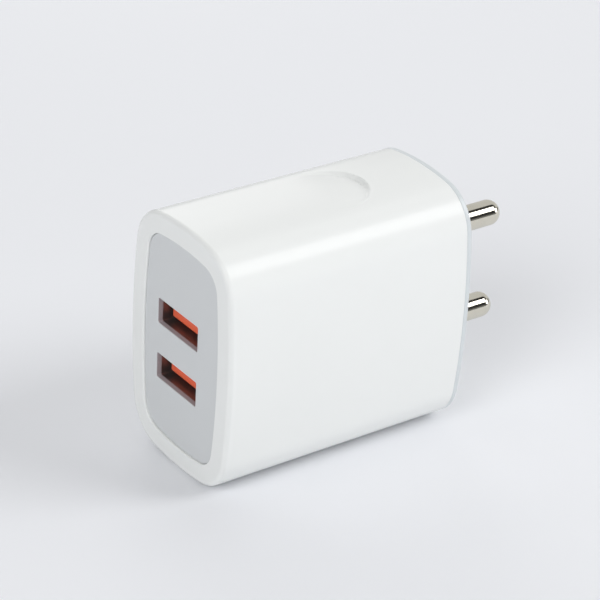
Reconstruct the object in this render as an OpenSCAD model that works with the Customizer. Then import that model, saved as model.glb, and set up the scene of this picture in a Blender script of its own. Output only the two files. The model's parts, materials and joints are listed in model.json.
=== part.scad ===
// Wall charger with two USB-A ports and two round mains pins.
// The ports face -Y, the pins point along +Y and +Z is up. The origin lies on
// the rear seating face, midway between the pins. All sizes are millimetres.
// Depths named "..._in" are measured from the front rim towards the pins.

/* [Body] */
// Width across the two large sides
body_w = 30.7; // [30.3:0.1:32]
// Height between the two narrow sides
body_h = 46.9; // [46.5:0.1:49]
// Depth from the front rim to the seating face
body_d = 50.5; // [50.5:0.5:60]
// Radius of the gentle bow of each large side
side_bow_r = 133; // [120:1:300]
// Radius of the gentle bow of each narrow side
end_bow_r = 50; // [46:1:80]
// Radius of the four long corners
corner_r = 8.3; // [7.8:0.1:8.8]
// Wall of the white sleeve
wall = 2.2; // [1.8:0.1:2.3]
// Rounding of the front edge
front_edge_r = 0.9; // [0.4:0.1:1.2]
// Width of the white rim around the front panel
rim_w = 4.0; // [3.8:0.1:4.4]
// Depth of the thumb scoops at their deep end
scoop_depth = 0.9; // [0.3:0.1:1.2]
// Radius of the thumb scoops
scoop_r = 7.3; // [6:0.1:8]

/* [Front panel] */
// How far the panel lies behind the rim
panel_sunk = 0.4; // [0.2:0.1:0.8]
// Thickness of the panel
panel_t = 1.5; // [1.4:0.1:1.8]
// Thickness left around each port window
window_t = 1.0; // [0.8:0.1:1.1]

/* [Ports] */
// Width of a port window
window_w = 12.2; // [12.1:0.1:12.4]
// Height of a port window
window_h = 4.8; // [4.7:0.1:5.0]
// Distance between the two ports
port_pitch = 10.7; // [10:0.1:12]
// Sideways place of the ports
port_x = -1.3; // [-2:0.1:0]
// Height of the middle of the two ports
port_z = -1.2; // [-2:0.1:0]
// Length of a port shell
shell_l = 13.0; // [12.8:0.1:13.2]

/* [Pins] */
// Distance between the mains pins
pin_pitch = 19.0; // [18:0.1:19.2]
// Diameter of a mains pin
pin_d = 4.8; // [4:0.1:4.8]
// Length of a mains pin behind the seating face
pin_l = 18.0; // [17:0.5:19]

/* [Boards] */
// Thickness of both circuit boards
board_t = 1.6; // [1.2:0.1:1.6]
// Inner face of the main board, on the component side
board_x = 9.6; // [9.4:0.1:9.7]

/* [Hidden] */

$fn = 48;
eps = 0.01;

// Places along the depth
front_y = -body_d;
seam_w = 1.0;
front_wall = 3.4;
ledge_w = 1.6;
panel_gap = 0.08;
port_z_list = [port_z + port_pitch / 2, port_z - port_pitch / 2];

// Outline of the body: four shallow bows joined by four corner arcs
side_c = [body_w / 2 - side_bow_r, 0];
end_c = [0, body_h / 2 - end_bow_r];
centre_gap = end_c - side_c;
centre_dist = norm(centre_gap);
centre_dir = centre_gap / centre_dist;
to_side = side_bow_r - corner_r;
to_end = end_bow_r - corner_r;
foot = (to_side ^ 2 - to_end ^ 2 + centre_dist ^ 2) / (2 * centre_dist);
rise = sqrt(to_side ^ 2 - foot ^ 2);
corner_c = side_c + centre_dir * foot + [-centre_dir.y, centre_dir.x] * rise;
side_turn = atan2(corner_c.y - side_c.y, corner_c.x - side_c.x);
end_turn = atan2(corner_c.y - end_c.y, corner_c.x - end_c.x);
bow_steps = 5;
corner_steps = 9;

function arc(c, r, from, to, steps, last) =
    [for (i = [0:last]) let (t = from + (to - from) * i / steps) c + r * [cos(t), sin(t)]];
function quarter(inset) = concat(
    arc(side_c, side_bow_r - inset, 0, side_turn, bow_steps, bow_steps - 1),
    arc(corner_c, corner_r - inset, side_turn, end_turn, corner_steps, corner_steps - 1),
    arc(end_c, end_bow_r - inset, end_turn, 90, bow_steps, bow_steps));

module outline(inset) {
    q = quarter(inset);
    n = len(q) - 1;
    polygon(concat(q,
        [for (i = [n - 1:-1:0]) [-q[i].x, q[i].y]],
        [for (i = [1:n]) [-q[i].x, -q[i].y]],
        [for (i = [n - 1:-1:1]) [q[i].x, -q[i].y]]));
}

// A flat shape drawn in X and Z, given thickness along the depth
module slab(from_in, to_in) {
    translate([0, front_y + to_in, 0]) rotate([90, 0, 0]) linear_extrude(to_in - from_in) children();
}

// A box from its middle in X, the depths of its two ends, and its middle in Z
module block(x, z, w, h, from_in, to_in) {
    translate([x - w / 2, front_y + from_in, z - h / 2]) cube([w, to_in - from_in, h]);
}

module rounded_rect(w, h, r) {
    for (sx = [-1, 1]) for (sz = [-1, 1])
        translate([sx * (w / 2 - r), sz * (h / 2 - r)]) circle(r);
    square([w - 2 * r, h], center = true);
    square([w, h - 2 * r], center = true);
}

// A cylinder across the depth of the body, that is along X, standing on the main board
module standing(in, z, d, h, lift = 0) {
    translate([board_x - lift, front_y + in, z]) rotate([0, -90, 0]) cylinder(d = d, h = h);
}

// ---- Case -------------------------------------------------------------

module sleeve_outside() {
    hull() {
        for (a = [0:18:90])
            slab(front_edge_r * (1 - cos(a)), front_edge_r * (1 - cos(a)) + eps)
                outline(front_edge_r * (1 - sin(a)));
        slab(body_d - seam_w - eps, body_d - seam_w) outline(0);
    }
}

scoop_slope = 3.5;
scoop_in = 29.6;
module thumb_scoop() {
    translate([0, front_y + scoop_in, body_h / 2]) rotate([-scoop_slope, 0, 0])
        translate([0, 0, -scoop_depth / 2])
            cylinder(r1 = scoop_r - scoop_depth / 2, r2 = scoop_r + scoop_depth / 2, h = 2 * scoop_depth);
}

rail_x = [8.0, 9.55];
rail_z = [17.1, 21];
rail_in = [20, 45];
module board_rails() {
    for (s = [-1, 1])
        block((rail_x[0] + rail_x[1]) / 2, s * (rail_z[0] + rail_z[1]) / 2, rail_x[1] - rail_x[0],
            rail_z[1] - rail_z[0], rail_in[0], rail_in[1]);
}

module housing() {
    color("whitesmoke") {
        difference() {
            sleeve_outside();
            slab(front_wall, body_d) outline(wall);
            slab(-1, panel_sunk + panel_t) outline(rim_w);
            slab(0, front_wall + 1) outline(rim_w + ledge_w);
            thumb_scoop();
            mirror([0, 0, 1]) thumb_scoop();
        }
        board_rails();
    }
}

shell_wall = 0.3;
shell_w = 13.1;
shell_h = 5.72;
shell_corner = 0.6;
shell_in = panel_sunk + window_t + 0.05;
window_corner = 0.3;
nose_gap = 0.15;
locating_t = 1.0;
locating_w = 1.2;

module front_panel() {
    color("silver") difference() {
        union() {
            slab(panel_sunk, panel_sunk + panel_t) outline(rim_w + panel_gap);
            slab(panel_sunk + panel_t, panel_sunk + panel_t + locating_t) difference() {
                outline(rim_w + ledge_w + panel_gap);
                outline(rim_w + ledge_w + locating_w);
            }
        }
        for (z = port_z_list) {
            slab(0, panel_sunk + panel_t + 1) translate([port_x, z])
                rounded_rect(window_w, window_h, window_corner);
            slab(panel_sunk + window_t, panel_sunk + panel_t + 1) translate([port_x, z])
                rounded_rect(shell_w + 2 * nose_gap, shell_h + 2 * nose_gap, shell_corner);
        }
    }
}

plate_t = 2.2;
spigot_in = 46.5;
spigot_w = 1.4;
spigot_gap = 0.08;
boss_r = 4.6;
boss_in = 43.2;
module rear_cover() {
    color("gainsboro") difference() {
        union() {
            slab(body_d - seam_w, body_d) outline(0);
            slab(body_d - plate_t, body_d - seam_w) outline(wall + spigot_gap);
            slab(spigot_in, body_d - plate_t) difference() {
                outline(wall + spigot_gap);
                outline(wall + spigot_gap + spigot_w);
            }
            for (s = [-1, 1]) translate([0, front_y + boss_in, s * pin_pitch / 2]) rotate([-90, 0, 0])
                cylinder(r = boss_r, h = body_d - plate_t - boss_in);
        }
        mains_pin(1);
        mains_pin(-1);
    }
}

// ---- Mains pins and their contacts ------------------------------------

stub_r = 1.1;
stub_in = 41.5;
shank_in = 43.2;
collar_in = 45.2;
collar_t = 1.2;
collar_r = 3.3;
shank_extra = 0.2;
module mains_pin(side) {
    pin_r = pin_d / 2;
    tip_in = body_d + pin_l - pin_r;
    translate([0, front_y, side * pin_pitch / 2]) rotate([-90, 0, 0]) {
        translate([0, 0, stub_in]) cylinder(r = stub_r, h = shank_in - stub_in + eps);
        // The shank moulded into the cover is a little thicker than the free pin
        translate([0, 0, shank_in]) cylinder(r = pin_r + shank_extra, h = body_d - shank_in);
        translate([0, 0, collar_in]) cylinder(r = collar_r, h = collar_t);
        translate([0, 0, body_d - eps]) cylinder(r = pin_r, h = tip_in - body_d + eps);
        translate([0, 0, tip_in]) sphere(pin_r);
    }
}

module line_pin() color("lightgray") mains_pin(1);
module neutral_pin() color("lightgray") mains_pin(-1);

contact_t = 0.4;
contact_w = 4.0;
contact_reach = 1.6;
contact_tab_w = 1.6;
contact_pad = 2.2;
module leaf_contact(side) {
    z = side * pin_pitch / 2;
    top = board_x - contact_pad;
    block((top - contact_reach) / 2, z, top + contact_reach, contact_w, stub_in - contact_t, stub_in);
    block(board_x - contact_pad / 2, z, contact_pad, contact_tab_w, stub_in - contact_t, stub_in);
    block(board_x + (board_t + 0.6) / 2, z, board_t + 0.6, contact_tab_w, stub_in - contact_t, stub_in);
}

module line_contact() color("goldenrod") leaf_contact(1);
module neutral_contact() color("goldenrod") leaf_contact(-1);

// ---- Ports ------------------------------------------------------------

port_back_in = shell_in + shell_l;
leaf_w = 1.7;
leaf_l = 4.6;
leaf_in = 4.2;
slit = 0.25;
shell_tail_w = 1.2;
shell_tail_h = 2.4;
module port_shell(z) {
    color("dimgray") {
        difference() {
            slab(shell_in, port_back_in) translate([port_x, z]) difference() {
                rounded_rect(shell_w, shell_h, shell_corner);
                rounded_rect(shell_w - 2 * shell_wall, shell_h - 2 * shell_wall, shell_corner - shell_wall);
            }
            // Slits that free the two holding springs above and the two below
            for (sx = [-1, 1]) for (sz = [-1, 1]) translate([port_x + sx * 3.2, 0, z + sz * shell_h / 2]) {
                for (side = [-1, 1]) block(side * (leaf_w + slit) / 2, 0, slit, 1, leaf_in, leaf_in + leaf_l);
                block(0, 0, leaf_w + 2 * slit, 1, leaf_in + leaf_l - slit, leaf_in + leaf_l);
            }
        }
        for (sx = [-1, 1]) block(port_x + sx * (shell_w - shell_wall) / 2, z, shell_wall, shell_tail_h,
            port_back_in, port_back_in + shell_tail_w + board_t - 0.4);
    }
}

module upper_port_shell() port_shell(port_z_list[0]);
module lower_port_shell() port_shell(port_z_list[1]);

// The tongue fills the lower half of the port, so its top lies on the port's middle
tongue_in = 3.0;
tongue_w = 11.1;
tongue_t = 1.72;
tongue_base_in = 11.4;
tongue_base_gap = 0.05;
groove_w = 1.3;
groove_t = 0.95;
groove_in = 3.7;
spring_x = [-3.5, -1.0, 1.0, 3.5];
tail_w = 0.7;
module port_tongue(z) {
    color("orangered") difference() {
        union() {
            slab(tongue_in, tongue_base_in) translate([port_x, z - tongue_t / 2])
                rounded_rect(tongue_w, tongue_t, 0.5);
            slab(tongue_base_in, port_back_in - tongue_base_gap) translate([port_x, z])
                rounded_rect(shell_w - 2 * shell_wall - 2 * tongue_base_gap,
                    shell_h - 2 * shell_wall - 2 * tongue_base_gap, shell_corner - shell_wall);
        }
        for (x = spring_x) {
            block(port_x + x, z, groove_w, 2 * groove_t, groove_in, tongue_base_in + 0.6);
            block(port_x + x, z + tail_z, tail_w, tail_t, tongue_base_in, port_back_in);
        }
    }
}

module upper_port_tongue() port_tongue(port_z_list[0]);
module lower_port_tongue() port_tongue(port_z_list[1]);

// Four spring strips a port, each free in its groove from the bend forwards
spring_t = 0.22;
spring_w = 0.9;
spring_z = -0.35;
spring_rise = 0.42;
spring_tip_in = 4.0;
spring_top_in = 5.0;
spring_fall_in = 6.4;
spring_root_in = tongue_base_in + 0.3;
tail_t = 0.3;
tail_z = -0.4;
module port_springs(z) {
    line = [[spring_tip_in, spring_z], [spring_top_in, spring_z + spring_rise + 0.15],
        [spring_fall_in, spring_z + 0.1], [spring_root_in, spring_z]];
    color("gold") for (x = spring_x)
        translate([port_x + x - spring_w / 2, front_y, z]) rotate([90, 0, 90]) linear_extrude(spring_w)
            polygon(concat([for (p = line) p + [0, spring_t / 2]],
                [for (i = [len(line) - 1:-1:0]) line[i] - [0, spring_t / 2]]));
}

module upper_port_springs() port_springs(port_z_list[0]);
module lower_port_springs() port_springs(port_z_list[1]);

module port_tails(z) {
    color("gold") for (x = spring_x)
        block(port_x + x, z + tail_z, tail_w, tail_t, spring_root_in + 0.05, port_back_in + board_t + 0.9);
}

module upper_port_tails() port_tails(port_z_list[0]);
module lower_port_tails() port_tails(port_z_list[1]);

// ---- Boards -----------------------------------------------------------

port_board_z = [-13.2, 11];
port_board_x = [-11.6, 12.2];
tab_z = [[4.5, 8.5], [-9, -5]];
tab_gap = 0.1;
module port_board() {
    color("darkgreen") difference() {
        block((port_board_x[0] + port_board_x[1]) / 2, (port_board_z[0] + port_board_z[1]) / 2,
            port_board_x[1] - port_board_x[0], port_board_z[1] - port_board_z[0],
            port_back_in, port_back_in + board_t);
        for (t = tab_z) block(board_x + board_t / 2, (t[0] + t[1]) / 2, board_t + 2 * tab_gap,
            abs(t[1] - t[0]) + 2 * tab_gap, port_back_in - 1, port_back_in + board_t + 1);
        for (z = port_z_list) {
            for (x = spring_x) translate([port_x + x, front_y + port_back_in - 1, z + tail_z])
                rotate([-90, 0, 0]) cylinder(r = 0.5, h = board_t + 2);
            for (sx = [-1, 1]) block(port_x + sx * (shell_w - shell_wall) / 2, z, shell_wall + 0.4,
                shell_tail_h + 0.4, port_back_in - 1, port_back_in + board_t + 1);
        }
    }
}

module port_chip() color("black")
    block(8.2 - 15.2, port_z, 3.9, 4.9, port_back_in + board_t, port_back_in + board_t + 1.1);

main_board_in = [16.5, 45.5];
main_board_z = 17;
// Drill places on the main board as [depth, height, hole diameter]
capacitor_places = [[36.8, 12.3], [36.8, 3.9], [20.8, 12.6], [20.8, -12.6]];
capacitor_d = [8, 8, 7, 7];
capacitor_h = [13, 13, 12, 12];
lead_d = 0.6;
lead_gap = 1.75;
fuse_in = [33.4, 40.0];
fuse_z = -8.6;
fuse_end_gap = 0.4;
fuse_side_step = 2.6;
disc_places = [[36.6, -13.6], [28.4, -12.6]];
disc_lead_gap = 2.5;
choke_place = [28.4, 12.6];
choke_lead_gap = 2;
transformer_in = 25.0;
transformer_pin_z = [-5, -1.7, 1.7, 5];
transformer_pin_gap = 6.2;
function pair(p, gap) = [[p[0] - gap, p[1]], [p[0] + gap, p[1]]];
lead_holes = concat(
    [for (p = capacitor_places) each pair(p, lead_gap)],
    [for (p = disc_places) each pair(p, disc_lead_gap)],
    pair(choke_place, choke_lead_gap),
    [[fuse_in[0] - 1, fuse_z], [fuse_in[1] + fuse_end_gap, fuse_z - fuse_side_step]],
    [for (z = transformer_pin_z) each pair([transformer_in, z], transformer_pin_gap)]);
module main_board() {
    color("darkgreen") difference() {
        union() {
            block(board_x + board_t / 2, 0, board_t, 2 * main_board_z, main_board_in[0], main_board_in[1]);
            for (t = tab_z) block(board_x + board_t / 2, (t[0] + t[1]) / 2, board_t, abs(t[1] - t[0]),
                port_back_in - 0.3, main_board_in[0]);
        }
        for (h = lead_holes) standing(h[0], h[1], lead_d + 0.3, board_t + 2, -board_t - 1);
        for (s = [-1, 1]) block(board_x + board_t / 2, s * pin_pitch / 2, board_t + 2, contact_tab_w + 0.2,
            stub_in - contact_t - 0.1, stub_in + 0.1);
    }
}

// One cone of solder round each lead on the far side of the main board
solder_h = 0.9;
module board_solder() {
    color("lightgray") for (h = lead_holes)
        translate([board_x + board_t, front_y + h[0], h[1]]) rotate([0, 90, 0]) difference() {
            cylinder(r1 = 0.95, r2 = 0.4, h = solder_h);
            translate([0, 0, -1]) cylinder(d = lead_d, h = solder_h + 2);
        }
}

sheet_x = 12.55;
sheet_t = 0.15;
module insulation_sheet() color("ivory")
    block(sheet_x + sheet_t / 2, 0, sheet_t, 19, main_board_in[0] + 1, main_board_in[1]);

// ---- Transformer ------------------------------------------------------

core_l = 14.2;
core_w = 16;
core_t = 4.8;
core_leg = 2;
core_window = 4;
transformer_x = board_x - 7.2;
bobbin_w = 5.4;
bobbin_h = 6.2;
flange_w = 11.6;
flange_h = 11;
flange_t = 0.8;
base_h = 1.4;
coil_l = core_l - 2 * core_leg - 2 * flange_t - 0.4;
coil_in = [transformer_in - coil_l / 2, transformer_in + coil_l / 2];

module ring_coil(inner_w, inner_h, outer_w, outer_h) {
    slab(coil_in[0], coil_in[1]) translate([transformer_x, 0]) difference() {
        rounded_rect(outer_h, outer_w, 0.9);
        rounded_rect(inner_h, inner_w, 0.3);
    }
}

module transformer_core() {
    window_l = core_l - 2 * core_leg;
    color("dimgray") difference() {
        block(transformer_x, 0, core_t, core_w, transformer_in - core_l / 2, transformer_in + core_l / 2);
        for (s = [-1, 1]) block(transformer_x, s * (core_leg + core_window / 2), core_t + 2, core_window,
            transformer_in - window_l / 2, transformer_in + window_l / 2);
    }
}

module transformer_bobbin() {
    flange_in = coil_l / 2 + 0.05;
    color("darkslategray") difference() {
        union() {
            slab(transformer_in - flange_in, transformer_in + flange_in) translate([transformer_x, 0])
                rounded_rect(bobbin_h, bobbin_w, 0.3);
            for (s = [-1, 1]) {
                block(transformer_x, 0, flange_h, flange_w, transformer_in + s * (flange_in + flange_t / 2)
                    - flange_t / 2, transformer_in + s * (flange_in + flange_t / 2) + flange_t / 2);
                // Foot that carries the pins, below the core
                block(board_x - 0.3 - base_h / 2, 0, base_h, 12, transformer_in + s * transformer_pin_gap - 1,
                    transformer_in + s * transformer_pin_gap + 1);
                block(transformer_x + flange_h / 2 - 0.6, 0, 1.6, flange_w,
                    transformer_in + s * 5.4 - 0.9, transformer_in + s * 5.4 + 0.9);
            }
        }
        block(transformer_x, 0, core_t + 0.1, 2 * core_leg + 0.1, transformer_in - 9, transformer_in + 9);
    }
}

coil_gap = 0.02;
module primary_winding() color("peru")
    ring_coil(bobbin_w + coil_gap, bobbin_h + coil_gap, 8.0, 8.6);
module secondary_winding() color("sandybrown")
    ring_coil(8.0 + coil_gap, 8.6 + coil_gap, 10.0, 10.0);
module transformer_tape() color("gold")
    ring_coil(10.0 + coil_gap, 10.0 + coil_gap, 10.5, 10.5);

module transformer_pins() {
    color("lightgray") for (z = transformer_pin_z) for (p = pair([transformer_in, z], transformer_pin_gap))
        standing(p[0], p[1], lead_d, board_t + 1.1 + 0.3, -board_t - 1.1);
}

// ---- Parts on the main board ------------------------------------------

seat_gap = 0.3;
sleeve_t = 0.15;
module capacitor_can(i) {
    color("silver") translate([board_x - seat_gap, front_y + capacitor_places[i][0], capacitor_places[i][1]])
        rotate([0, -90, 0]) difference() {
            cylinder(d = capacitor_d[i] - 2 * sleeve_t, h = capacitor_h[i]);
            // Rolled groove above the rubber plug
            translate([0, 0, 1.4]) difference() {
                cylinder(d = capacitor_d[i] + 1, h = 0.8);
                translate([0, 0, -1]) cylinder(d = capacitor_d[i] - 1.1, h = 3);
            }
        }
}
module input_capacitor_a() capacitor_can(0);
module input_capacitor_b() capacitor_can(1);
module output_capacitor_a() capacitor_can(2);
module output_capacitor_b() capacitor_can(3);

module capacitor_sleeves() {
    color("midnightblue") for (i = [0:3])
        translate([board_x - seat_gap, front_y + capacitor_places[i][0], capacitor_places[i][1]])
            rotate([0, -90, 0]) difference() {
                translate([0, 0, 2.4]) cylinder(d = capacitor_d[i], h = capacitor_h[i] - 2.5);
                cylinder(d = capacitor_d[i] - 2 * sleeve_t, h = capacitor_h[i] + 1);
            }
}

module capacitor_leads() {
    color("lightgray") for (place = capacitor_places) for (p = pair(place, lead_gap))
        standing(p[0], p[1], lead_d, board_t + 1.1 + seat_gap, -board_t - 1.1);
}

choke_d = 7;
choke_h = 9;
choke_flange_t = 1.2;
choke_core_d = 3;
module choke_core() {
    color("dimgray") {
        standing(choke_place[0], choke_place[1], choke_core_d, choke_h, seat_gap);
        for (lift = [seat_gap, seat_gap + choke_h - choke_flange_t])
            standing(choke_place[0], choke_place[1], choke_d, choke_flange_t, lift);
    }
}

module choke_winding() {
    color("peru") {
        difference() {
            standing(choke_place[0], choke_place[1], choke_d - 0.8, choke_h - 2 * choke_flange_t - 0.1,
                seat_gap + choke_flange_t + 0.05);
            standing(choke_place[0], choke_place[1], choke_core_d + 0.04, choke_h + 2, -0.5);
        }
        for (p = pair(choke_place, choke_lead_gap))
            standing(p[0], p[1], lead_d, board_t + 1.1 + seat_gap, -board_t - 1.1);
    }
}

bridge_place = [36.8, -3.6];
bridge_size = [2.4, 3.8, 4.6];
module bridge_rectifier() color("black")
    block(board_x - 0.15 - bridge_size.x / 2, bridge_place[1], bridge_size.x, bridge_size.z,
        bridge_place[0] - bridge_size.y / 2, bridge_place[0] + bridge_size.y / 2);

module bridge_legs() {
    color("lightgray") for (s = [-1, 1]) for (z = [-1.27, 1.27]) {
        side = bridge_place[0] + s * (bridge_size.y / 2 + 0.15);
        toe = bridge_place[0] + s * (bridge_size.y / 2 + 0.75);
        block(board_x - 0.6, bridge_place[1] + z, 1.2, 0.6, side - 0.15, side + 0.15);
        block(board_x - 0.1, bridge_place[1] + z, 0.2, 0.6, toe - 0.5, toe + 0.5);
    }
}

fuse_d = 3.2;
fuse_lift = 2.2;
module fuse_resistor() {
    color("seagreen") translate([board_x - fuse_lift, front_y + fuse_in[0], fuse_z]) rotate([-90, 0, 0]) {
        cylinder(d = fuse_d, h = 1.6);
        cylinder(d = fuse_d - 0.6, h = fuse_in[1] - fuse_in[0]);
        translate([0, 0, fuse_in[1] - fuse_in[0] - 1.6]) cylinder(d = fuse_d, h = 1.6);
    }
}

module fuse_leads() {
    color("lightgray") {
        translate([board_x - fuse_lift, front_y + fuse_in[0] - 1, fuse_z]) rotate([-90, 0, 0])
            cylinder(d = lead_d, h = 1);
        standing(fuse_in[0] - 1, fuse_z, lead_d, board_t + 1.1 + fuse_lift, -board_t - 1.1);
        translate([board_x - fuse_lift, front_y + fuse_in[0] - 1, fuse_z]) sphere(d = lead_d);
        end = [board_x - fuse_lift, front_y + fuse_in[1] + fuse_end_gap, fuse_z];
        translate(end - [0, fuse_end_gap, 0]) rotate([-90, 0, 0]) cylinder(d = lead_d, h = fuse_end_gap);
        translate(end) sphere(d = lead_d);
        translate(end - [0, 0, fuse_side_step]) cylinder(d = lead_d, h = fuse_side_step);
        translate(end - [0, 0, fuse_side_step]) sphere(d = lead_d);
        standing(fuse_in[1] + fuse_end_gap, fuse_z - fuse_side_step, lead_d, board_t + 1.1 + fuse_lift,
            -board_t - 1.1);
    }
}

disc_d = 7;
disc_lift = 1.2;
module ceramic_disc(place, thick) {
    translate([board_x - disc_lift - disc_d / 2, front_y + place[0], place[1]]) {
        cylinder(d = disc_d - 1, h = thick, center = true);
        cylinder(d = disc_d, h = thick - 1, center = true);
    }
}
module surge_varistor() color("royalblue") ceramic_disc(disc_places[0], 3.2);
module safety_capacitor() color("steelblue") ceramic_disc(disc_places[1], 3.6);

module disc_leads() {
    // The legs stop where they meet the rim of the disc
    leg_rise = disc_d / 2 - sqrt((disc_d / 2) ^ 2 - (disc_lead_gap - lead_d / 2) ^ 2);
    reach = board_t + 1.1 + disc_lift + leg_rise;
    color("lightgray") for (place = disc_places) for (p = pair(place, disc_lead_gap))
        standing(p[0], p[1], lead_d, reach, -board_t - 1.1);
}

// Moulded chips with a row of flat legs along both long edges, on the far side of the board
module far_side_chip(in, z, size, leg_step, leg_count) {
    block(board_x + board_t + 0.1 + size.x / 2, z, size.x, size.z, in - size.y / 2, in + size.y / 2);
    for (s = [-1, 1]) for (i = [0:leg_count - 1])
        block(board_x + board_t + 0.2, z + (i - (leg_count - 1) / 2) * leg_step, 0.4, 0.4,
            in + s * (size.y / 2 + 0.4) - 0.5, in + s * (size.y / 2 + 0.4) + 0.5);
}
module control_chip() color("black") far_side_chip(36.6, 0, [1.1, 3.9, 4.9], 1.27, 4);
module output_rectifier() color("black") far_side_chip(23.6, 8.4, [1.1, 4.2, 2.6], 1.5, 1);

chip_size = [0.5, 2.0, 1.25];
resistor_places = [[28.6, -2], [28.6, 0.2], [28.6, 2.4], [34.2, 7.4], [40.6, 3.9], [40.6, -3.9], [25, -8.4],
    [28, 8.4]];
capacitor_chip_places = [[28.6, -4.4], [28.6, 4.8], [27.6, -8.4], [22, -8.6], [34.2, -6.2]];
module chips(places, thick) {
    for (p = places) block(board_x + board_t + thick / 2, p[1], thick, chip_size.z,
        p[0] - chip_size.y / 2, p[0] + chip_size.y / 2);
}
module chip_resistors() color("black") chips(resistor_places, chip_size.x);
module chip_capacitors() color("tan") chips(capacitor_chip_places, 0.8);

housing();
front_panel();
rear_cover();
line_pin();
neutral_pin();
upper_port_shell();
lower_port_shell();
upper_port_tongue();
lower_port_tongue();
upper_port_springs();
lower_port_springs();
upper_port_tails();
lower_port_tails();
port_board();
port_chip();
main_board();
board_solder();
insulation_sheet();
transformer_core();
transformer_bobbin();
primary_winding();
secondary_winding();
transformer_tape();
transformer_pins();
input_capacitor_a();
input_capacitor_b();
output_capacitor_a();
output_capacitor_b();
capacitor_sleeves();
capacitor_leads();
choke_core();
choke_winding();
bridge_rectifier();
bridge_legs();
fuse_resistor();
fuse_leads();
surge_varistor();
safety_capacitor();
disc_leads();
control_chip();
output_rectifier();
chip_resistors();
chip_capacitors();
line_contact();
neutral_contact();
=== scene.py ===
"""Looks of a mains charger block with two USB-A ports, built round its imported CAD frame.

Every piece is modelled in metres in the frame of the CAD model: X across the block, Y from
the front panel towards the mains pins, Z up. Depths are measured from the front rim.
"""

from __future__ import annotations

import json
import logging
import math
from abc import ABC, abstractmethod
from collections.abc import Iterable, Sequence
from dataclasses import dataclass, field
from enum import Enum

import bmesh
import bpy
from bmesh.types import BMesh, BMEdge, BMFace, BMVert
from mathutils import Matrix, Vector

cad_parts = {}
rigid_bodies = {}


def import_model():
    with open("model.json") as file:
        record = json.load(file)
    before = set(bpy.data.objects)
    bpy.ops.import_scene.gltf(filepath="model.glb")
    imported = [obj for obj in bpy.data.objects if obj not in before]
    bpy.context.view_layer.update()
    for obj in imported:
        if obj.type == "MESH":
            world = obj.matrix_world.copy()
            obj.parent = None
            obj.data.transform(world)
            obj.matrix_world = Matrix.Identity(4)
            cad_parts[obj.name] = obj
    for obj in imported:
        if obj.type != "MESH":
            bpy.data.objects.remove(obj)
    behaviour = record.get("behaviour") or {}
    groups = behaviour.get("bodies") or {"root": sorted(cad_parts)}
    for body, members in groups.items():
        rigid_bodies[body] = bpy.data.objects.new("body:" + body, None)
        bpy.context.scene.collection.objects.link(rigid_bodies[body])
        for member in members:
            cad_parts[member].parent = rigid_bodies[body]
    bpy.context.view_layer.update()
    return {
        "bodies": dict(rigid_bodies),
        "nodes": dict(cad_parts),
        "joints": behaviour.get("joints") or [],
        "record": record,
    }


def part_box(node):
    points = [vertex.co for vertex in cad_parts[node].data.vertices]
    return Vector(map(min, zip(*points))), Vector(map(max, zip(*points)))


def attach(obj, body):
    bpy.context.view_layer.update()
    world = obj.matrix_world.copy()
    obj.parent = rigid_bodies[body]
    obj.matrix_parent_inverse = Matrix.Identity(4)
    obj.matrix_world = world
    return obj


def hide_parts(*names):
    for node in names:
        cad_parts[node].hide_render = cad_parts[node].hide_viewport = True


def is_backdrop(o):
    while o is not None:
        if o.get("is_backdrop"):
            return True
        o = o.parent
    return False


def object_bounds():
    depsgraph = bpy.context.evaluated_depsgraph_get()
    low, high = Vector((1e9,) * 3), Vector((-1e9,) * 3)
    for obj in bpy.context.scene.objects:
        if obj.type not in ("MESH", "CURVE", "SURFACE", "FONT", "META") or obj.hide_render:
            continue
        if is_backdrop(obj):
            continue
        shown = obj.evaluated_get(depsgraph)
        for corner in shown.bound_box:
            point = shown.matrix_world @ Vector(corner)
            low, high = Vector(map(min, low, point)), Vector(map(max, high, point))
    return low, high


LOG = logging.getLogger("charger")
MM = 0.001
WELD = 0.001 * MM
Colour = tuple[float, float, float]
CHARGER = "charger"


# ---- Shader maths ----------------------------------------------------------------------


class Wire:
    """A value on its way through a shader. Arithmetic on it adds Math nodes."""

    def __init__(self, sheet: "NodeSheet", socket: bpy.types.NodeSocket) -> None:
        """Keeps the socket that the value comes from.

        Args:
            sheet: The node sheet that the socket is on.
            socket: The output socket that carries the value.
        """
        self.sheet = sheet
        self.socket = socket

    def maths(self, operation: str, first: "Wire | float", second: "Wire | float") -> "Wire":
        """Adds one Math node.

        Args:
            operation: The name of the node's operation.
            first: The upper value.
            second: The lower value.

        Returns:
            The result of the operation.
        """
        return self.sheet.node("ShaderNodeMath", {0: first, 1: second}, operation=operation)

    def __add__(self, other: "Wire | float") -> "Wire":
        """Returns self + other."""
        return self.maths("ADD", self, other)

    def __radd__(self, other: float) -> "Wire":
        """Returns other + self."""
        return self.maths("ADD", other, self)

    def __sub__(self, other: "Wire | float") -> "Wire":
        """Returns self - other."""
        return self.maths("SUBTRACT", self, other)

    def __rsub__(self, other: float) -> "Wire":
        """Returns other - self."""
        return self.maths("SUBTRACT", other, self)

    def __mul__(self, other: "Wire | float") -> "Wire":
        """Returns self * other."""
        return self.maths("MULTIPLY", self, other)

    def __rmul__(self, other: float) -> "Wire":
        """Returns other * self."""
        return self.maths("MULTIPLY", other, self)

    def __gt__(self, other: "Wire | float") -> "Wire":
        """Returns 1 where self is greater than other, and 0 elsewhere."""
        return self.maths("GREATER_THAN", self, other)


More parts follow.
